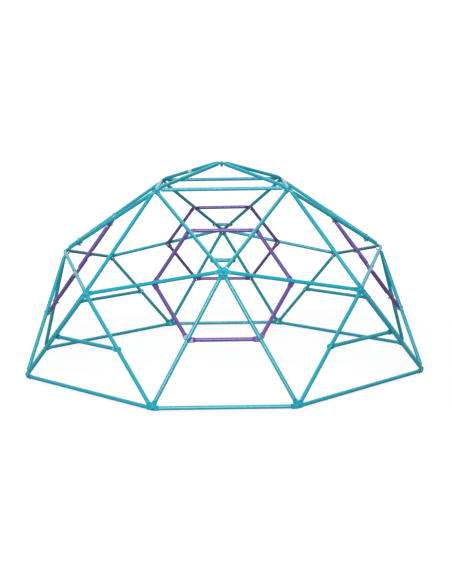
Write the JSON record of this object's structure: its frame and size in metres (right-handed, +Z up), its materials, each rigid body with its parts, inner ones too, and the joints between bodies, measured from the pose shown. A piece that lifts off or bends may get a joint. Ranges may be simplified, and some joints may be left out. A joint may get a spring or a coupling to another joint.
{
  "type": "dome climber",
  "caption": "Geodesic dome climbing frame of bolted steel tubes with pressed ends, hexagon rungs inside each side and low rungs at the corners.",
  "frame": {"origin": "middle of the dome's footprint, on the ground under the base hubs", "axes": "+Z up; -Y is the front side, facing the viewer of the picture; +X is the viewer's right. The dome is four-fold symmetric about Z"},
  "size_m": [2.4204, 2.4204, 1.2664],
  "materials": {
    "teal_powder_coat": "gloss",
    "purple_powder_coat": "gloss",
    "zinc_plate": "satin"
  },
  "bodies": {
    "root": {"apex_strut_back_left": "teal_powder_coat", "apex_strut_back_right": "teal_powder_coat", "apex_strut_front_left": "teal_powder_coat", "apex_strut_front_right": "teal_powder_coat", "base_corner_back_left": "teal_powder_coat", "base_corner_back_right": "teal_powder_coat", "base_corner_front_left": "teal_powder_coat", "base_corner_front_right": "teal_powder_coat", "base_side_back": "teal_powder_coat", "base_side_front": "teal_powder_coat", "base_side_left": "teal_powder_coat", "base_side_right": "teal_powder_coat", "corner_leg_back_left": "teal_powder_coat", "corner_leg_back_right": "teal_powder_coat", "corner_leg_front_left": "teal_powder_coat", "corner_leg_front_right": "teal_powder_coat", "corner_leg_left_back": "teal_powder_coat", "corner_leg_left_front": "teal_powder_coat", "corner_leg_right_back": "teal_powder_coat", "corner_leg_right_front": "teal_powder_coat", "corner_rungs": "teal_powder_coat", "crown_leg_back_left": "teal_powder_coat", "crown_leg_back_right": "teal_powder_coat", "crown_leg_front_left": "teal_powder_coat", "crown_leg_front_right": "teal_powder_coat", "crown_ring_back": "teal_powder_coat", "crown_ring_front": "teal_powder_coat", "crown_ring_left": "teal_powder_coat", "crown_ring_right": "teal_powder_coat", "hexagon_back": "purple_powder_coat", "hexagon_front": "purple_powder_coat", "hexagon_left": "purple_powder_coat", "hexagon_right": "purple_powder_coat", "hub_bolts": "teal_powder_coat", "hub_nuts": "zinc_plate", "hub_washers": "teal_powder_coat", "lower_struts_back": "teal_powder_coat", "lower_struts_front": "teal_powder_coat", "lower_struts_left": "teal_powder_coat", "lower_struts_right": "teal_powder_coat", "middle_strut_back_left": "teal_powder_coat", "middle_strut_back_right": "teal_powder_coat", "middle_strut_front_left": "teal_powder_coat", "middle_strut_front_right": "teal_powder_coat", "middle_strut_left_back": "teal_powder_coat", "middle_strut_left_front": "teal_powder_coat", "middle_strut_right_back": "teal_powder_coat", "middle_strut_right_front": "teal_powder_coat", "rung_bolts": "teal_powder_coat", "rung_nuts": "zinc_plate", "rung_washers": "zinc_plate", "short_rungs": "teal_powder_coat", "splice_bolts": "teal_powder_coat", "splice_nuts": "zinc_plate", "upper_struts_back": "teal_powder_coat", "upper_struts_front": "teal_powder_coat", "upper_struts_left": "teal_powder_coat", "upper_struts_right": "teal_powder_coat"}
  },
  "joints": []
}
